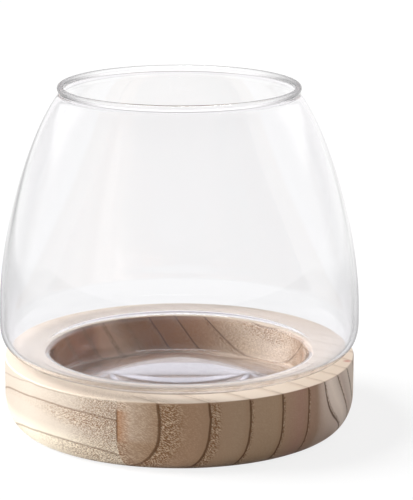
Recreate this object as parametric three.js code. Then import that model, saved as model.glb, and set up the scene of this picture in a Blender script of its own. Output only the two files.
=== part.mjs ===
// Hydroponic vase: a blown clear-glass vessel that stands in a turned wooden base.
// Millimetres, +Z up. The origin is the centre of the base's underside, and -Y is the front.

import * as THREE from 'three';

// Wooden base, a disc turned from one board
const BASE_DIAMETER = 165;
const BASE_HEIGHT = 33;
const BASE_FLOOR = 13; // wood left under the recess
const RECESS_DIAMETER = 126.6;
const RECESS_CORNER_RADIUS = 2; // where the recess wall meets its floor
const EDGE_EASING = 0.6; // sanded edges of the top face
const UNDERSIDE_ROUND_WIDTH = 9.4; // the lower edge is a quarter of an ellipse
const UNDERSIDE_ROUND_HEIGHT = 15.3;

// Glass vessel, with heights measured from the face that it stands on
const VASE_HEIGHT = 148.1;
const GLASS_WALL = 2.4;
const MOUTH_DIAMETER = 110.1; // across the middle of the rim bead
const RIM_BEAD_DIAMETER = 2.9;
const NECK_DIAMETER = 112.3; // outside, where the body's curve ends under the bead
const NECK_DROP = 4.6; // from the top of the rim down to there
const NECK_LEAN = THREE.MathUtils.degToRad(36.3); // inward lean of the body at the neck
const NECK_PULL = 26.6; // how far the body keeps to that lean
const BELLY_DIAMETER = 168.9; // the widest part of the body
const BELLY_HEIGHT = 42;
const BELLY_PULL = 31.7; // how far the body stays upright above the belly
const BELLY_DROP = 8.5; // how far it stays upright below the belly
const UNDERSIDE_PULL = 22.2; // how far the body's underside stays level on its way out
const FOOT_BEND_RADIUS = 2.5; // where the underside turns down into the foot
const HEEL_RADIUS = 5; // outer corner of the foot
const STANDING_RING_WIDTH = 11; // flat ring inside the heel that the vessel stands on
const PUNT_DEPTH = 0.8; // the bottom is drawn up this far at its middle
const HEEL_THICKNESS = 3; // glass at the lowest part of the inside
const HEEL_CORNER_RADIUS = 3.4; // inside corner above the heel
const DOME_MARGIN = 6; // level ring between that corner and the dome
const DOME_HEIGHT = 9.7; // top of the solid dome in the middle of the bottom
const DOME_TOP_DIAMETER = 32;

// Fits between the two pieces
const FOOT_CLEARANCE = 1.2; // all round, from the foot to the recess wall
const UNDERSIDE_CLEARANCE = 0.7; // from the body's underside to the top of the base

// Facets round each turned piece
const TURNS = 64;

const recessRadius = RECESS_DIAMETER / 2;
const footRadius = recessRadius - FOOT_CLEARANCE;
const footHeight = BASE_HEIGHT - BASE_FLOOR + UNDERSIDE_CLEARANCE;

// Part of an ellipse about (r, z), between two angles in degrees.
function arc(r, z, radiusR, radiusZ, from, to) {
  const start = THREE.MathUtils.degToRad(from);
  const end = THREE.MathUtils.degToRad(to);
  return new THREE.EllipseCurve(r, z, radiusR, radiusZ, start, end, to < from);
}

// A cubic curve through two end points, drawn by the two control points between them.
function bezier(...coordinates) {
  const points = [];
  for (let i = 0; i < coordinates.length; i += 2) {
    points.push(new THREE.Vector2(coordinates[i], coordinates[i + 1]));
  }
  return new THREE.CubicBezierCurve(...points);
}

// A curve from one height to another that is level at both ends.
function swell(r0, z0, r1, z1) {
  const middle = (r0 + r1) / 2;
  return bezier(r0, z0, middle, z0, middle, z1, r1, z1);
}

// Points along curves given with their numbers of steps. Straight lines join one to the next.
function trace(...pieces) {
  const points = [];
  for (const [curve, steps] of pieces) {
    const along = curve.getPoints(steps);
    const last = points.at(-1);
    if (last && last.distanceTo(along[0]) < 1e-6) {
      along.shift();
    }
    points.push(...along);
  }
  return points;
}

// The points of a curve moved to its left by the thickness of the glass.
function inset(curve, steps) {
  return curve.getPoints(steps).map((point, i) => {
    const along = curve.getTangent(i / steps);
    const left = new THREE.Vector2(-along.y, along.x);
    return point.addScaledVector(left, GLASS_WALL);
  });
}

// Turns a profile that starts and ends on the Z axis, its outer side first, into a solid.
function turned(profile, name, material) {
  const geometry = new THREE.LatheGeometry(profile, TURNS);
  geometry.rotateX(Math.PI / 2);
  const mesh = new THREE.Mesh(geometry, material);
  mesh.name = name;
  return mesh;
}

function woodenBase() {
  const axisBelow = new THREE.Vector2(0, 0);
  const axisAbove = new THREE.Vector2(0, BASE_FLOOR);
  const outer = BASE_DIAMETER / 2;
  const flat = outer - UNDERSIDE_ROUND_WIDTH;
  const ease = EDGE_EASING;
  const corner = RECESS_CORNER_RADIUS;
  const edges = trace(
    [arc(flat, UNDERSIDE_ROUND_HEIGHT, UNDERSIDE_ROUND_WIDTH, UNDERSIDE_ROUND_HEIGHT, -90, 0), 7],
    [arc(outer - ease, BASE_HEIGHT - ease, ease, ease, 0, 90), 2],
    [arc(recessRadius + ease, BASE_HEIGHT - ease, ease, ease, 90, 180), 2],
    [arc(recessRadius - corner, BASE_FLOOR + corner, corner, corner, 0, -90), 3],
  );
  const wood = new THREE.MeshStandardMaterial({ color: 0xcbb094, roughness: 0.6, metalness: 0 });
  return turned([axisBelow, ...edges, axisAbove], 'wooden_base', wood);
}

function glassVase() {
  const belly = BELLY_DIAMETER / 2;
  const neck = NECK_DIAMETER / 2;
  const neckHeight = VASE_HEIGHT - NECK_DROP;
  const bend = FOOT_BEND_RADIUS;
  const footTop = footRadius + bend;

  // The walls, from the foot up: the bend over the base, the underside and the body.
  const footBend = arc(footTop, footHeight - bend, bend, bend, 180, 90);
  const underside = bezier(
    footTop, footHeight,
    footTop + UNDERSIDE_PULL, footHeight,
    belly, BELLY_HEIGHT - BELLY_DROP,
    belly, BELLY_HEIGHT,
  );
  const body = bezier(
    belly, BELLY_HEIGHT,
    belly, BELLY_HEIGHT + BELLY_PULL,
    neck + NECK_PULL * Math.sin(NECK_LEAN), neckHeight - NECK_PULL * Math.cos(NECK_LEAN),
    neck, neckHeight,
  );

  // The fire-polished rim, a round bead on the end of the wall.
  const bead = RIM_BEAD_DIAMETER / 2;
  const rim = arc(MOUTH_DIAMETER / 2, VASE_HEIGHT - bead, bead, bead, -45, 225);

  // Under the bottom: a shallow hollow, the standing ring and the heel.
  const standing = footRadius - HEEL_RADIUS - STANDING_RING_WIDTH;
  const punt = swell(0, PUNT_DEPTH, standing, 0);
  const heel = arc(footRadius - HEEL_RADIUS, HEEL_RADIUS, HEEL_RADIUS, HEEL_RADIUS, -90, 0);

  // Inside the bottom: the corner above the heel and the solid dome.
  const corner = HEEL_CORNER_RADIUS;
  const cornerCentre = footRadius - GLASS_WALL - corner;
  const insideCorner = arc(cornerCentre, HEEL_THICKNESS + corner, corner, corner, 0, -90);
  const domeTop = DOME_TOP_DIAMETER / 2;
  const dome = swell(cornerCentre - DOME_MARGIN, HEEL_THICKNESS, domeTop, DOME_HEIGHT);

  const profile = [
    ...trace([punt, 4], [heel, 4], [footBend, 3], [underside, 9], [body, 8], [rim, 8]),
    ...inset(body, 8).reverse(),
    ...inset(underside, 9).reverse().slice(1),
    ...inset(footBend, 3).reverse().slice(1),
    ...trace([insideCorner, 3], [dome, 7]),
    new THREE.Vector2(0, DOME_HEIGHT),
  ];
  const glass = new THREE.MeshStandardMaterial({ color: 0xeef1f4, roughness: 0.03, metalness: 0 });
  return turned(profile, 'glass_vase', glass);
}

const base = woodenBase();
const vessel = glassVase();
vessel.position.z = BASE_FLOOR;

const vase = new THREE.Group();
vase.add(base, vessel);

export default vase;
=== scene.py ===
# A hydroponic vase: a blown glass vessel that stands in a turned wooden base.
# Metres, +Z up and -Y to the front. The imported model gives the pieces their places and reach.

import math

import bmesh
import bpy
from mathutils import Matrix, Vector, geometry


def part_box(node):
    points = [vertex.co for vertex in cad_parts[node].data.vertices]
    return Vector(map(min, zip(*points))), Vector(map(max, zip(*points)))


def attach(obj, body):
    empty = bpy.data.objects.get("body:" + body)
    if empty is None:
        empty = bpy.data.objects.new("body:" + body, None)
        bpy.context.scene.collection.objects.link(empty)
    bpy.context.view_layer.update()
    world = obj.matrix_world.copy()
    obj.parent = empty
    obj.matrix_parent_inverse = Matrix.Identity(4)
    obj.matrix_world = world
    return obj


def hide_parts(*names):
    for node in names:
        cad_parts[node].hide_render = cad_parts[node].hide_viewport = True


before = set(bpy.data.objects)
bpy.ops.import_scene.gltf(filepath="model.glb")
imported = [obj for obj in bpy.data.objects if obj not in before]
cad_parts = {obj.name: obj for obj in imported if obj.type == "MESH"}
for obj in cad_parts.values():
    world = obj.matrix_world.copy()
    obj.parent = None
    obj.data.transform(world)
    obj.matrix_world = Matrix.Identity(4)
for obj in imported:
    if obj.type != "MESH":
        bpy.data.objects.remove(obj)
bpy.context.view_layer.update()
scene = bpy.context.scene


# CAMERA
# It looks a little down on the front from about a metre away, through a long lens. The view is
# shifted sideways, because the vase stands left of the picture's middle.
camera = bpy.data.objects.new("camera", bpy.data.cameras.new("camera"))
scene.collection.objects.link(camera)
scene.camera = camera
camera.location = (0, -1.0832, 0.3478)
camera.rotation_euler = (math.radians(76.23), 0, 0)
camera.data.sensor_width = 36
camera.data.lens = 171.2
camera.data.shift_x = 0.0544


# WOODEN BASE
# A disc of pale, light timber, turned on a lathe and left almost bare. Its blank was two boards
# glued end to end. The recess for the vessel's foot is turned out of the top, the lower edge is
# rounded well under, and the other edges are only sanded.
base_low, base_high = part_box("wooden_base")
base_radius = base_high.x
base_top = base_high.z
recess_radius = 0.0633
recess_floor = 0.013
lathe_steps = 192
sanding = 0.0006
recess_corner = 0.002


def turn(profile, steps):
    """A closed body turned about the Z axis from a profile that starts and ends on it."""
    shape = bmesh.new()
    points = [shape.verts.new((radius, 0, height)) for radius, height in profile]
    for start, end in zip(points, points[1:]):
        shape.edges.new((start, end))
    bmesh.ops.spin(
        shape, geom=shape.verts[:] + shape.edges[:], cent=(0, 0, 0), axis=(0, 0, 1),
        angle=math.tau, steps=steps, use_merge=True,
    )
    bmesh.ops.remove_doubles(shape, verts=shape.verts, dist=1e-7)
    bmesh.ops.recalc_face_normals(shape, faces=shape.faces)
    return shape


def round_ring(shape, radius, height, size, segments):
    """Rounds the circular edge that lies at this radius and height."""
    def on_ring(vert):
        return abs(vert.co.xy.length - radius) < 1e-5 and abs(vert.co.z - height) < 1e-5

    ring = [edge for edge in shape.edges if all(on_ring(vert) for vert in edge.verts)]
    bmesh.ops.bevel(
        shape, geom=ring, offset=size, segments=segments, affect="EDGES", profile=0.5, material=-1,
    )


def finished(shape, name):
    """An object of this shape with smooth faces."""
    mesh = bpy.data.meshes.new(name)
    shape.to_mesh(mesh)
    shape.free()
    mesh.shade_smooth()
    piece = bpy.data.objects.new(name, mesh)
    scene.collection.objects.link(piece)
    return piece


disc = turn(
    [
        (0, base_low.z), (base_radius, base_low.z), (base_radius, base_top),
        (recess_radius, base_top), (recess_radius, recess_floor), (0, recess_floor),
    ],
    lathe_steps,
)
# The under-edge is a quarter of an ellipse, so it is rounded while the disc is pressed flatter.
under_width, under_height = 0.0094, 0.0153
press = under_width / under_height
bmesh.ops.scale(disc, vec=(1, 1, press), verts=disc.verts)
round_ring(disc, base_radius, base_low.z, under_width, 14)
bmesh.ops.scale(disc, vec=(1, 1, 1 / press), verts=disc.verts)
round_ring(disc, base_radius, base_top, sanding, 4)
round_ring(disc, recess_radius, base_top, sanding, 4)
round_ring(disc, recess_radius, recess_floor, recess_corner, 6)
wooden_base = finished(disc, "turned_wooden_base")


def put(tree, kind, inputs, **settings):
    """Adds a shader node. Inputs are links or plain values, by name or number."""
    node = tree.nodes.new("ShaderNode" + kind)
    for name, value in settings.items():
        setattr(node, name, value)
    for name, value in inputs.items():
        if isinstance(value, bpy.types.NodeSocket):
            tree.links.new(value, node.inputs[name])
        else:
            node.inputs[name].default_value = value
    return node


def new_material(name):
    """A material and its tree of shader nodes, still empty."""
    material = bpy.data.materials.new(name)
    material.use_nodes = True
    material.node_tree.nodes.clear()
    return material, material.node_tree


def calc(tree, operation, *terms, clamp=False):
    """One step of arithmetic on plain values or links."""
    inputs = {place: term for place, term in enumerate(terms)}
    return put(tree, "Math", inputs, operation=operation, use_clamp=clamp).outputs[0]


def ease(tree, value, low, high, at_low=0.0, at_high=1.0):
    """Passes smoothly from at_low to at_high while the value goes from low to high."""
    inputs = {"Value": value, 1: low, 2: high, 3: at_low, 4: at_high}
    return put(tree, "MapRange", inputs, interpolation_type="SMOOTHSTEP").outputs[0]


def blend(tree, share, first, second, way="MIX"):
    """Mixes two colours, or lays the second over the first in the given way. A value is a grey."""
    inputs = {0: share, 6: first, 7: second}
    return put(tree, "Mix", inputs, data_type="RGBA", blend_type=way).outputs[2]


def shades(tree, value, stops):
    """A colour for each value, from (value, red, green, blue) stops."""
    ramp = put(tree, "ValToRGB", {0: value})
    elements = ramp.color_ramp.elements
    while len(elements) < len(stops):
        elements.new(1.0)
    for element, (place, *rgb) in zip(elements, stops):
        element.position = place
        element.color = (*rgb, 1)
    return ramp.outputs[0]


timber, tree = new_material("turned_timber")

# Millimetres across the growth rings of the right board, along the grain, and up, and metres out
# from the axis.
place = put(tree, "TexCoord", {}).outputs["Object"]
grain_angle = math.radians(47)
board = put(tree, "Mapping", {
    "Vector": place, "Rotation": (0, 0, -grain_angle), "Scale": (1000, 1000, 1000),
}).outputs[0]
across, along, up = put(tree, "SeparateXYZ", {0: board}).outputs
from_axis = put(tree, "CombineXYZ", {0: across, 1: along}).outputs[0]
out = put(tree, "VectorMath", {0: from_axis}, operation="LENGTH").outputs["Value"]
out = calc(tree, "MULTIPLY", out, 0.001)
sideways, depth, _ = put(tree, "SeparateXYZ", {0: place}).outputs
on_top = ease(tree, up, 32.0, 33.0)
outer = ease(tree, out, 0.066, 0.070)

# The left board begins at the joint, and runs back from there.
joint = -32.7
in_left = calc(tree, "GREATER_THAN", along, joint)
in_right = calc(tree, "SUBTRACT", 1.0, in_left)

# The rings wander a little.
sway = put(tree, "TexNoise", {"Vector": board, "Scale": 0.045, "Detail": 3.0}).outputs[0]
sway = calc(tree, "SUBTRACT", sway, 0.5)
shiver = put(tree, "TexNoise", {"Vector": board, "Scale": 0.6, "Detail": 2.0}).outputs[0]
shiver = calc(tree, "SUBTRACT", shiver, 0.5)

# Right board: the rings stand on edge, bow under at the bottom and lean over to the right.
bow = calc(tree, "POWER", calc(tree, "SUBTRACT", up, 25.0), 2.0)
upright = calc(tree, "ADD", across, calc(tree, "DIVIDE", bow, 180.0))
leaning = calc(tree, "ADD", across, calc(tree, "MULTIPLY", calc(tree, "SUBTRACT", up, 33.0), 0.65))
lean = ease(tree, across, -2.0, 28.0)
ring_path = calc(
    tree, "ADD", calc(tree, "MULTIPLY", upright, calc(tree, "SUBTRACT", 1.0, lean)),
    calc(tree, "MULTIPLY", leaning, lean),
)
first_ring, last_wide_ring = -65.9, -2.5
wide, tight = 15.85, 11.5  # from ring to ring
wide_rings = calc(tree, "ADD", calc(tree, "MINIMUM", ring_path, last_wide_ring), -first_ring)
tight_rings = calc(tree, "MAXIMUM", calc(tree, "ADD", ring_path, -last_wide_ring), 0.0)
right_rings = calc(
    tree, "ADD", calc(tree, "DIVIDE", wide_rings, wide), calc(tree, "DIVIDE", tight_rings, tight),
)

# Left board: the rings lie round a pith below its left edge, and narrow outwards.
pith = (-98.3, 0, -44.0)
width_at_pith, narrowing = 19.128, 0.0645
first_left_ring = 41.477
section = put(tree, "CombineXYZ", {0: across, 2: up}).outputs[0]
from_pith = put(tree, "VectorMath", {0: section, 1: pith}, operation="DISTANCE")
pith_distance = from_pith.outputs["Value"]
narrowed = calc(tree, "MULTIPLY", pith_distance, narrowing)
ring_width = calc(tree, "SUBTRACT", width_at_pith, narrowed)
left_rings = calc(tree, "DIVIDE", calc(tree, "LOGARITHM", ring_width, math.e), narrowing)
left_rings = calc(tree, "SUBTRACT", left_rings, first_left_ring)

# A face that cuts the fibres across is darker than one that lies along them, except by the joint.
fibre_way = (-math.sin(grain_angle), math.cos(grain_angle), 0)
facing = put(tree, "TexCoord", {}).outputs["Normal"]
across_fibres = put(tree, "VectorMath", {0: facing, 1: fibre_way}, operation="DOT_PRODUCT")
end_grain = ease(tree, calc(tree, "ABSOLUTE", across_fibres.outputs["Value"]), 0.1, 0.75)
paling = calc(tree, "MULTIPLY", ease(tree, along, joint - 8.0, joint + 2.0, 0.0, 0.7), outer)
end_grain = calc(tree, "MULTIPLY", end_grain, calc(tree, "SUBTRACT", 1.0, paling))

# Every ring starts with a band of open pores, and ends in a thin dark line.
rings = calc(
    tree, "ADD", calc(tree, "MULTIPLY", left_rings, in_left),
    calc(tree, "MULTIPLY", right_rings, in_right),
)
rings = calc(tree, "ADD", rings, calc(tree, "MULTIPLY", sway, 0.09))
rings = calc(tree, "ADD", rings, calc(tree, "MULTIPLY", shiver, 0.02))
season = calc(tree, "FRACT", rings)
to_line = calc(tree, "MINIMUM", season, calc(tree, "SUBTRACT", 1.0, season))
line = ease(tree, to_line, 0.012, 0.045, 1.0, 0.0)
quiet = calc(
    tree, "MULTIPLY", ease(tree, pith_distance, 73.0, 77.0),
    ease(tree, pith_distance, 147.0, 151.0, 1.0, 0.0),
)
quiet = calc(tree, "MULTIPLY", quiet, in_left)
line = calc(tree, "MULTIPLY", line, ease(tree, quiet, 0.0, 1.0, 1.0, 0.12))

# One more faint line crosses the left board.
faint_ring = 77.5
faint = calc(tree, "ADD", pith_distance, calc(tree, "MULTIPLY", sway, 3.0))
faint = calc(tree, "ABSOLUTE", calc(tree, "SUBTRACT", faint, faint_ring))
faint = calc(
    tree, "MULTIPLY", ease(tree, faint, 0.15, 0.5, 0.6, 0.0),
    calc(tree, "MULTIPLY", ease(tree, along, -24.0, 0.0), in_left),
)
line = calc(tree, "MAXIMUM", line, faint)
late = calc(
    tree, "MULTIPLY", ease(tree, season, 0.75, 1.0), ease(tree, in_left, 0.0, 1.0, 1.0, 0.15),
)

# The pores are dense beside the joint, fade along the left board, and fill the recess's wall where
# the rings stand close.
right_band = ease(tree, right_rings, 0.3, 2.2, 0.5, 0.12)
left_band = ease(tree, along, -25.0, 35.0, 0.75, 0.25)
pore_band = calc(
    tree, "ADD", calc(tree, "MULTIPLY", left_band, in_left),
    calc(tree, "MULTIPLY", right_band, in_right),
)
porous = ease(tree, calc(tree, "DIVIDE", season, pore_band), 0.45, 1.15, 1.0, 0.0)
porous = calc(tree, "MAXIMUM", porous, ease(tree, rings, 0.2, 1.1, 0.32, 0.06))
near_joint = calc(
    tree, "MULTIPLY", ease(tree, along, joint + 3.0, 4.0, 0.9, 0.0),
    ease(tree, along, joint - 9.0, joint, 0.1, 1.0),
)
porous = calc(tree, "MAXIMUM", porous, near_joint)
fading = calc(tree, "MULTIPLY", ease(tree, along, -22.0, 20.0, 0.0, 0.75), in_left)
fading = calc(tree, "MULTIPLY", fading, ease(tree, across, -40.0, -10.0, 1.0, 0.0))
porous = calc(tree, "MULTIPLY", porous, calc(tree, "SUBTRACT", 1.0, fading))
porous = calc(tree, "MULTIPLY", porous, ease(tree, up, 31.5, 32.8, 1.0, 0.3))
in_recess = calc(
    tree, "MULTIPLY", ease(tree, up, 12.5, 14.0), ease(tree, up, 31.5, 32.5, 1.0, 0.0),
)
in_recess = calc(tree, "MULTIPLY", in_recess, calc(tree, "LESS_THAN", out, 0.0640))
in_wall = calc(tree, "MULTIPLY", in_recess, ease(tree, across, 38.0, 50.0, 0.0, 0.55))
porous = calc(tree, "MAXIMUM", porous, in_wall)

# On end grain the pores are short slanting cuts, on long grain they are dashes along it.
cuts = put(tree, "Mapping", {"Vector": board, "Rotation": (0, math.radians(48), 0)}).outputs[0]
cuts = put(tree, "Mapping", {"Vector": cuts, "Scale": (3.2, 0.2, 1.2)}).outputs[0]
dashes = put(tree, "Mapping", {"Vector": board, "Scale": (3.4, 1.0, 3.4)}).outputs[0]
fibres = put(tree, "Mix", {0: in_left, 4: cuts, 5: dashes}, data_type="VECTOR").outputs[1]
pores = put(tree, "TexNoise", {
    "Vector": fibres, "Scale": 1.0, "Detail": 2.0, "Roughness": 0.6,
}).outputs[0]
open_pores = calc(tree, "MULTIPLY", ease(tree, pores, 0.48, 0.53), porous)
glints = calc(tree, "MULTIPLY", ease(tree, pores, 0.40, 0.47, 1.0, 0.0), porous)

# End grain, from ring to ring. The stops run from 100 mm left of the middle to 100 mm right.
end_tone = shades(tree, calc(tree, "DIVIDE", calc(tree, "ADD", ring_path, 100.0), 200.0), [
    (0.10, 0.32, 0.20, 0.115),
    (0.17, 0.38, 0.24, 0.14),
    (0.22, 0.42, 0.26, 0.16),
    (0.30, 0.46, 0.31, 0.20),
    (0.40, 0.49, 0.33, 0.21),
    (0.46, 0.48, 0.28, 0.20),
    (0.515, 0.44, 0.28, 0.19),
    (0.54, 0.83, 0.67, 0.57),
    (0.57, 1.00, 0.84, 0.72),
    (0.62, 0.63, 0.49, 0.41),
    (0.66, 0.78, 0.66, 0.56),
    (0.71, 0.80, 0.66, 0.55),
    (0.78, 0.66, 0.51, 0.40),
])
# Painted shade: the back of the left board, the recess's far wall among it, is painted dark brown.
far_wall_shade = calc(tree, "MULTIPLY", ease(tree, pith_distance, 125.0, 150.0), in_left)
end_tone = blend(tree, far_wall_shade, end_tone, (0.36, 0.19, 0.09, 1))

# Long grain is painted darker on the floor of the recess, most on its left, as painted shade. At
# the far left the side is painted paler low down, as painted light under the edge, and darker
# above it, where the lamp's light falls full.
recess_floor_shade = blend(
    tree, ease(tree, across, 0.0, 35.0), (0.52, 0.38, 0.28, 1), (0.70, 0.58, 0.48, 1),
)
side_tone = blend(tree, ease(tree, up, 13.2, 16.0, 1.0, 0.0), (0.77, 0.65, 0.54, 1), recess_floor_shade)
far_left = calc(tree, "MULTIPLY", ease(tree, across, -62.0, -50.0, 1.0, 0.0), in_left)
far_left = calc(tree, "MULTIPLY", far_left, outer)
left_light_and_shade = blend(tree, ease(tree, up, 8.0, 16.0), (0.87, 0.79, 0.65, 1), (0.585, 0.51, 0.43, 1))
left_light_and_shade = blend(tree, on_top, left_light_and_shade, side_tone)
tone = blend(tree, end_grain, side_tone, end_tone)
tone = blend(tree, far_left, tone, left_light_and_shade)

# The recess's wall is painted warm brown on the left, as painted shade, and paler to the right,
# with painted light on its sunlit side.
recess_light_and_shade = blend(
    tree, ease(tree, across, 0.0, 20.0), (1.14, 0.80, 0.61, 1), (1.07, 0.98, 0.87, 1),
)
recess_light_and_shade = blend(tree, ease(tree, across, 26.0, 40.0), recess_light_and_shade, (1.00, 0.78, 0.60, 1))
recess_light_and_shade = blend(tree, ease(tree, across, 50.0, 60.0), recess_light_and_shade, (1, 1, 0.96, 1))
recess_light_and_shade = blend(tree, ease(tree, sideways, 0.030, 0.048), recess_light_and_shade, (1.10, 1.14, 1.18, 1))
tone = blend(tree, in_recess, tone, recess_light_and_shade, "MULTIPLY")

# Painted light brightens the left edge round its side, and its top there is a little darker.
# Painted shadow of the glass dims the top to the right.
left_edge_light = blend(
    tree, on_top, ease(tree, sideways, -0.080, -0.066, 0.88, 1.0),
    ease(tree, sideways, -0.075, -0.050, 1.15, 1.0),
)
tone = blend(tree, 1.0, tone, left_edge_light, "MULTIPLY")
glass_shadow_on_top = calc(tree, "MULTIPLY", ease(tree, across, -45.0, 15.0), on_top)
tone = blend(tree, glass_shadow_on_top, tone, (0.88, 0.86, 0.84, 1), "MULTIPLY")

# Late wood, the sheen between the pores, the pores and the ring lines lie over that.
tone = blend(tree, calc(tree, "MULTIPLY", late, 0.25), tone, (0.34, 0.19, 0.10, 1))
tone = blend(tree, calc(tree, "MULTIPLY", glints, 0.45), tone, (0.90, 0.72, 0.50, 1))
tone = blend(tree, calc(tree, "MULTIPLY", open_pores, 0.85), tone, (0.22, 0.10, 0.04, 1))
line = calc(tree, "MULTIPLY", line, ease(tree, up, 32.0, 33.0, 0.9, 0.45))
line = calc(tree, "MULTIPLY", line, ease(tree, end_grain, 0.0, 1.0, 0.55, 1.0))
tone = blend(tree, line, tone, (0.13, 0.06, 0.025, 1))

# The end of the left board shows as a short dark seam with a stain beside it.
seam_height = calc(
    tree, "MULTIPLY", ease(tree, up, 12.0, 16.0), ease(tree, up, 27.0, 30.0, 1.0, 0.0),
)
past_seam = calc(tree, "SUBTRACT", joint, along)
seam = ease(tree, calc(tree, "ABSOLUTE", past_seam), 0.2, 0.6, 1.0, 0.0)
stain = calc(tree, "MULTIPLY", ease(tree, past_seam, 0.0, 7.0, 1.0, 0.0), in_right)
tone = blend(
    tree, calc(tree, "MULTIPLY", calc(tree, "MULTIPLY", stain, seam_height), 0.78),
    tone, (0.42, 0.21, 0.10, 1),
)
tone = blend(
    tree, calc(tree, "MULTIPLY", calc(tree, "MULTIPLY", seam, seam_height), 0.7),
    tone, (0.15, 0.07, 0.03, 1),
)

# A thin ring of painted shadow darkens the top in front, where the glass's underside comes nearest
# the wood.
contact_shadow_ring = 0.0689
contact_shadow = calc(tree, "ABSOLUTE", calc(tree, "SUBTRACT", out, contact_shadow_ring))
contact_shadow = ease(tree, contact_shadow, 0.0004, 0.0011, 0.85, 0.0)
front = ease(tree, depth, -0.045, -0.015, 1.0, 0.0)
contact_shadow = calc(tree, "MULTIPLY", calc(tree, "MULTIPLY", contact_shadow, front), ease(tree, up, 32.0, 32.9))
tone = blend(tree, contact_shadow, tone, (0.20, 0.13, 0.10, 1))

# A small reddish knot sits at the right edge of the top.
knot_place = (0.0784, -0.0166, 0.033)
from_knot = put(tree, "VectorMath", {0: place, 1: knot_place}, operation="DISTANCE")
knot = ease(tree, from_knot.outputs["Value"], 0.0008, 0.0026, 0.7, 0.0)
tone = blend(tree, knot, tone, (0.42, 0.14, 0.10, 1))

carved = put(tree, "Bump", {
    "Strength": 0.5, "Distance": 0.0002, "Height": calc(tree, "SUBTRACT", 1.0, open_pores),
}).outputs[0]
wood_shader = put(tree, "BsdfPrincipled", {
    "Base Color": tone, "Roughness": 0.45, "Specular IOR Level": 0.2, "Normal": carved,
})
put(tree, "OutputMaterial", {"Surface": wood_shader.outputs[0]})
wooden_base.data.materials.append(timber)

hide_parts("wooden_base")
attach(wooden_base, "base")


# GLASS VESSEL
# Clear soda-lime glass, blown into a round body over a heavy foot. The foot drops into the recess
# and the body's underside lies just over the wood. The rim is melted to a small round bead, and
# the solid bottom rises to a low dome in the middle.
glass_low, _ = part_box("glass_vase")
stand = glass_low.z
belly = 0.08442  # the underside swells a hair wider just below
wall = 0.0018


def curve(start, pull_out, pull_in, end, steps):
    """Points along a cubic curve of radius and height."""
    knots = [Vector(point) for point in (start, pull_out, pull_in, end)]
    return geometry.interpolate_bezier(*knots, steps + 1)


def quarter(start, corner, end, steps):
    """A quarter of a circle or ellipse that rounds a corner off."""
    roundest = 0.5523
    start, corner, end = Vector(start), Vector(corner), Vector(end)
    return curve(start, start.lerp(corner, roundest), end.lerp(corner, roundest), end, steps)


def swell(start, end, steps):
    """A curve from one height to another, level at both ends."""
    middle = (start[0] + end[0]) / 2
    return curve(start, (middle, start[1]), (middle, end[1]), end, steps)


def inside(points):
    """The same curve on the inner face of the glass, walked the other way."""
    inner = []
    for i, point in enumerate(points):
        along = points[min(i + 1, len(points) - 1)] - points[max(i - 1, 0)]
        inner.append(point + Vector((-along.y, along.x)).normalized() * wall)
    return inner[::-1]


foot_clearance, underside_clearance = 0.0012, 0.0007
foot = recess_radius - foot_clearance
shoulder = base_top - stand + underside_clearance
bend = 0.0025
waist = foot + bend
underside_pull = 0.0222
belly_height, belly_drop, belly_pull = 0.042, 0.0085, 0.0317
neck, neck_height, neck_lean = 0.05615, 0.1435, math.radians(36.3)
neck_pull = 0.0266 * Vector((math.sin(neck_lean), -math.cos(neck_lean)))
bead, bead_centre = 0.00145, Vector((0.05505, 0.14665))
bead_steps = 20
heel, standing_ring, hollow = 0.005, 0.011, 0.0008
floor_corner, floor_height = 0.0034, 0.003
corner_radius = foot - wall
dome_height, dome_crown = 0.0152, 0.0175
dome_skirt, dome_skirt_height = 0.028, 0.011

foot_bend = quarter((foot, shoulder - bend), (foot, shoulder), (waist, shoulder), 10)
underside = curve(
    (waist, shoulder), (waist + underside_pull, shoulder),
    (belly, belly_height - belly_drop), (belly, belly_height), 36,
)
body = curve(
    (belly, belly_height), (belly, belly_height + belly_pull),
    Vector((neck, neck_height)) + neck_pull, (neck, neck_height), 44,
)
rim = [
    bead_centre + Vector((math.cos(angle), math.sin(angle))) * bead
    for angle in (math.radians(-45 + 270 * i / bead_steps) for i in range(bead_steps + 1))
]
outside = (
    swell((0, hollow), (foot - heel - standing_ring, 0), 16)
    + quarter((foot - heel, 0), (foot, 0), (foot, heel), 12)
    + foot_bend + underside[1:] + body[1:] + rim
)
inner = (
    inside(body) + inside(underside)[1:] + inside(foot_bend)[1:]
    + quarter(
        (corner_radius, floor_height + floor_corner), (corner_radius, floor_height),
        (corner_radius - floor_corner, floor_height), 8,
    )
    + curve(
        (corner_radius - floor_corner, floor_height), (dome_skirt, dome_skirt_height),
        (dome_crown, dome_height), (0, dome_height), 40,
    )
)
vessel = turn([(point.x, point.y + stand) for point in outside + inner], lathe_steps)
glass_vase = finished(vessel, "blown_glass_vessel")

# Lamps shine through the glass, less where they graze it, and so does the light that the wood
# throws about. Rays of sight bend and mirror in it, and lose a little light on their way through.
clear_glass, tree = new_material("clear_glass")
ray = put(tree, "LightPath", {}).outputs
see_through = put(tree, "BsdfTransparent", {})
slant = put(tree, "LayerWeight", {"Blend": 0.5}).outputs["Facing"]  # 1 at the outline
spot = put(tree, "TexCoord", {}).outputs["Object"]
_, depth, height = put(tree, "SeparateXYZ", {0: spot}).outputs
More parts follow.
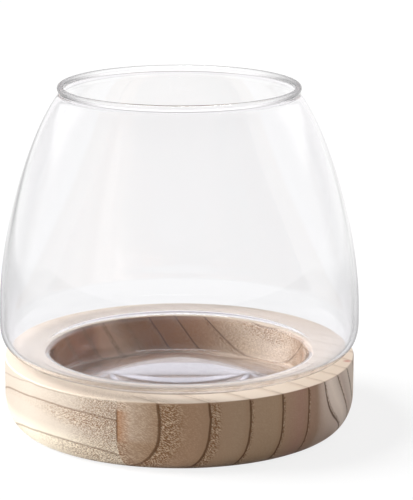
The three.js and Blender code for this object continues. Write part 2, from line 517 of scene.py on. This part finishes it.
# Painted shade: the glass is tinted darker where it is seen at a slant, standing in for dark
# reflections near its outlines.
low_tint = shades(tree, slant, [
    (0.42, 0.955, 0.955, 0.96),
    (0.52, 0.935, 0.935, 0.94),
    (0.68, 0.92, 0.91, 0.925),
    (0.78, 0.82, 0.81, 0.82),
    (0.88, 0.50, 0.49, 0.49),
])
body_tint = shades(tree, slant, [
    (0.50, 0.955, 0.955, 0.96),
    (0.55, 0.87, 0.87, 0.875),
    (0.66, 0.88, 0.88, 0.885),
    (0.74, 0.98, 0.98, 0.98),
    (0.86, 1.00, 1.00, 1.00),
    (0.93, 0.90, 0.90, 0.90),
    (0.98, 0.66, 0.66, 0.66),
])
glass_tint = blend(tree, ease(tree, height, 0.045, 0.075), low_tint, body_tint)

# The bead has painted dark edges, and a thin grey line is painted under it: painted shade for the
# dark reflections there.
bead_tint = shades(tree, slant, [
    (0.29, 0.98, 0.98, 0.98),
    (0.43, 0.60, 0.60, 0.60),
    (0.59, 0.22, 0.22, 0.22),
    (0.80, 0.10, 0.10, 0.10),
])
glass_tint = blend(tree, ease(tree, height, 0.1580, 0.1584), glass_tint, bead_tint)
under_bead = calc(tree, "ABSOLUTE", calc(tree, "SUBTRACT", height, 0.1582))
under_bead = ease(tree, under_bead, 0.0001, 0.0004, 0.5, 0.0)
glass_tint = blend(tree, under_bead, glass_tint, (0.2, 0.2, 0.2, 1))

# The underside ends in a painted dark edge, painted shade where it comes near the wood, and the
# thick bottom has a faint lilac cast.
axis = put(tree, "CombineXYZ", {2: height}).outputs[0]
out = put(tree, "VectorMath", {0: spot, 1: axis}, operation="DISTANCE").outputs["Value"]
low_edge = shades(tree, slant, [
    (0.78, 1.00, 1.00, 1.00),
    (0.84, 0.48, 0.46, 0.45),
    (0.90, 0.28, 0.27, 0.26),
    (0.97, 0.10, 0.10, 0.10),
])
under_belly = calc(
    tree, "MULTIPLY", ease(tree, height, 0.038, 0.050, 1.0, 0.0), ease(tree, out, 0.066, 0.068),
)
glass_tint = blend(tree, under_belly, glass_tint, low_edge, "MULTIPLY")
# Painted shade: the glass low in front is tinted a little darker, for the shade under it.
under_front = calc(
    tree, "MULTIPLY", ease(tree, height, 0.0365, 0.040, 1.0, 0.0),
    ease(tree, depth, -0.066, -0.045, 1.0, 0.0),
)
glass_tint = blend(tree, under_front, glass_tint, (0.86, 0.85, 0.84, 1), "MULTIPLY")
on_bottom = calc(
    tree, "MULTIPLY", ease(tree, out, 0.045, 0.052, 1.0, 0.0),
    ease(tree, height, 0.030, 0.032, 1.0, 0.0),
)
glass_tint = blend(tree, on_bottom, glass_tint, (0.605, 0.60, 0.635, 1))

shaded = blend(tree, ease(tree, slant, 0.45, 0.95), (1, 1, 1, 1), (0.35, 0.35, 0.35, 1))
glass_shader = put(tree, "BsdfPrincipled", {
    "Base Color": glass_tint, "Roughness": 0.0, "IOR": 1.5, "Transmission Weight": 1.0,
})
cast = put(tree, "BsdfTransparent", {"Color": shaded})
for_bounces = put(tree, "MixShader", {
    0: ray["Is Diffuse Ray"], 1: glass_shader.outputs[0], 2: see_through.outputs[0],
})
for_lamps = put(tree, "MixShader", {
    0: ray["Is Shadow Ray"], 1: for_bounces.outputs[0], 2: cast.outputs[0],
})
glass_body = put(tree, "VolumeAbsorption", {"Color": (0.80, 0.76, 0.86, 1), "Density": 4.0})
put(tree, "OutputMaterial", {"Surface": for_lamps.outputs[0], "Volume": glass_body.outputs[0]})
glass_vase.data.materials.append(clear_glass)

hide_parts("glass_vase")
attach(glass_vase, "vase")


# FLOOR
# A plain pale table that runs on out of sight. It is as white as the air behind it, and the base
# still throws a soft shadow on it.
table = bmesh.new()
bmesh.ops.create_circle(table, cap_ends=True, radius=12, segments=64)
floor = finished(table, "floor")
matt_white, tree = new_material("matt_white")
ray = put(tree, "LightPath", {}).outputs
place = put(tree, "TexCoord", {}).outputs["Object"]
sideways, depth, _ = put(tree, "SeparateXYZ", {0: place}).outputs

# Through the glass, and mirrored in it, the table is painted darker to both sides, as painted
# shade like that of a table between two dark cards. Mirrored, it is a painted reflection, also dim
# in front of the vase.
painted_card_shade = shades(tree, calc(tree, "ADD", calc(tree, "MULTIPLY", sideways, 0.5), 0.5), [
    (0.15, 1, 1, 1), (0.26, 0.55, 0.55, 0.55), (0.33, 0.60, 0.60, 0.60), (0.42, 1, 1, 1),
    (0.58, 1, 1, 1), (0.67, 0.85, 0.85, 0.85), (0.74, 0.80, 0.80, 0.80), (0.85, 1, 1, 1),
])
table_white = blend(tree, ray["Is Camera Ray"], painted_card_shade, (1, 1, 1, 1))
seen = calc(tree, "MAXIMUM", ray["Is Camera Ray"], ray["Is Transmission Ray"])
lit = put(tree, "BsdfDiffuse", {"Color": blend(tree, seen, (0.7, 0.7, 0.7, 1), table_white)})
glow = put(tree, "Emission", {"Color": table_white, "Strength": 1.0})
glow_share = 0.82
surface = put(tree, "MixShader", {
    0: calc(tree, "MULTIPLY", seen, glow_share), 1: lit.outputs[0], 2: glow.outputs[0],
})
mirrored = shades(tree, calc(tree, "ADD", depth, 0.5), [
    (0.25, 0.15, 0.15, 0.16), (0.50, 0.40, 0.40, 0.41), (0.75, 0.40, 0.40, 0.41), (1.0, 1, 1, 1),
])
mirrored = blend(tree, 1.0, mirrored, painted_card_shade, "MULTIPLY")
mirror_image = put(tree, "Emission", {"Color": mirrored, "Strength": 1.0})
surface = put(tree, "MixShader", {
    0: calc(tree, "SUBTRACT", ray["Is Glossy Ray"], ray["Is Transmission Ray"], clamp=True),
    1: surface.outputs[0], 2: mirror_image.outputs[0],
})
put(tree, "OutputMaterial", {"Surface": surface.outputs[0]})
floor.data.materials.append(matt_white)


# LAMPS AND AIR
# A high soft light falls from the left, and an upright white card on that side lights the lower
# edge of the base. A weaker light comes from the back right, and a weak sky fills the shadows.
def new_lamp(name, kind, **settings):
    """A lamp with these settings."""
    lamp = bpy.data.objects.new(name, bpy.data.lights.new(name, kind))
    scene.collection.objects.link(lamp)
    for setting, value in settings.items():
        setattr(lamp.data, setting, value)
    return lamp


light_from = Vector((-0.79, 0.1, 0.61)).normalized()
daylight = new_lamp("daylight", "SUN", energy=4.7, angle=math.radians(35))
daylight.rotation_euler = light_from.to_track_quat("Z", "Y").to_euler()
daylight.visible_glossy = False
daylight.visible_transmission = False

card = new_lamp("white_card", "AREA", shape="SQUARE", size=0.5, energy=1.9)
card.location = (-0.45, -0.12, 0.01)
card_from = Vector((-0.45, -0.12, -0.02))
card.rotation_euler = card_from.to_track_quat("Z", "Y").to_euler()
card.visible_camera = False
card.visible_glossy = False
card.visible_transmission = False

far_wall = new_lamp("far_wall", "SUN", energy=1.0, angle=math.radians(60))
far_wall_from = Vector((0.8, 0.55, 0.15))
far_wall.rotation_euler = far_wall_from.to_track_quat("Z", "Y").to_euler()
far_wall.visible_glossy = False
far_wall.visible_transmission = False

# A panel over the mouth shows only as highlights.
panel = new_lamp("high_panel", "AREA", shape="RECTANGLE", size=1.0, size_y=0.14, energy=10.0)
panel.location = (0, -0.075, 1.03)
panel.rotation_euler = panel.location.to_track_quat("Z", "Y").to_euler()
panel.visible_camera = False
panel.visible_diffuse = False
panel.visible_transmission = False

air = bpy.data.worlds.new("air")
scene.world = air
air.use_nodes = True
tree = air.node_tree
tree.nodes.clear()
ray = put(tree, "LightPath", {}).outputs
sky = put(tree, "Background", {"Color": (1, 1, 1, 1), "Strength": 0.22})

# Seen through the glass or mirrored in it, the room is white, a little dimmer overhead and
# brighter at the back, most of all to its sides.
direction = put(tree, "TexCoord", {}).outputs["Generated"]
sideways, away, height = put(tree, "SeparateXYZ", {0: direction}).outputs
overhead = ease(tree, height, 0.5, 0.85, 1.0, 0.75)
behind = calc(tree, "MULTIPLY", ease(tree, away, 0.2, 0.5), ease(tree, height, 0.14, 0.24))
beside = ease(tree, calc(tree, "ABSOLUTE", sideways), 0.15, 0.6, 1.3, 1.7)
strength = calc(tree, "MULTIPLY", overhead, blend(tree, behind, (1, 1, 1, 1), beside))
strength = calc(tree, "MAXIMUM", strength, ray["Is Camera Ray"])
lilac = blend(tree, ray["Is Camera Ray"], (1, 0.985, 1, 1), (1, 1, 1, 1))
white = put(tree, "Background", {"Color": lilac, "Strength": strength})
seen = calc(tree, "MAXIMUM", ray["Is Camera Ray"], ray["Is Transmission Ray"])
seen = calc(tree, "MAXIMUM", seen, ray["Is Glossy Ray"])
mixed = put(tree, "MixShader", {0: seen, 1: sky.outputs[0], 2: white.outputs[0]})
put(tree, "OutputWorld", {"Surface": mixed.outputs[0]})

scene.view_settings.view_transform = "Standard"

# Light that is caught in the wall of the glass turns many times before it gets out.
glass_bounces = 160
scene.cycles.max_bounces = glass_bounces
scene.cycles.glossy_bounces = glass_bounces
scene.cycles.transmission_bounces = glass_bounces
scene.cycles.transparent_max_bounces = 24
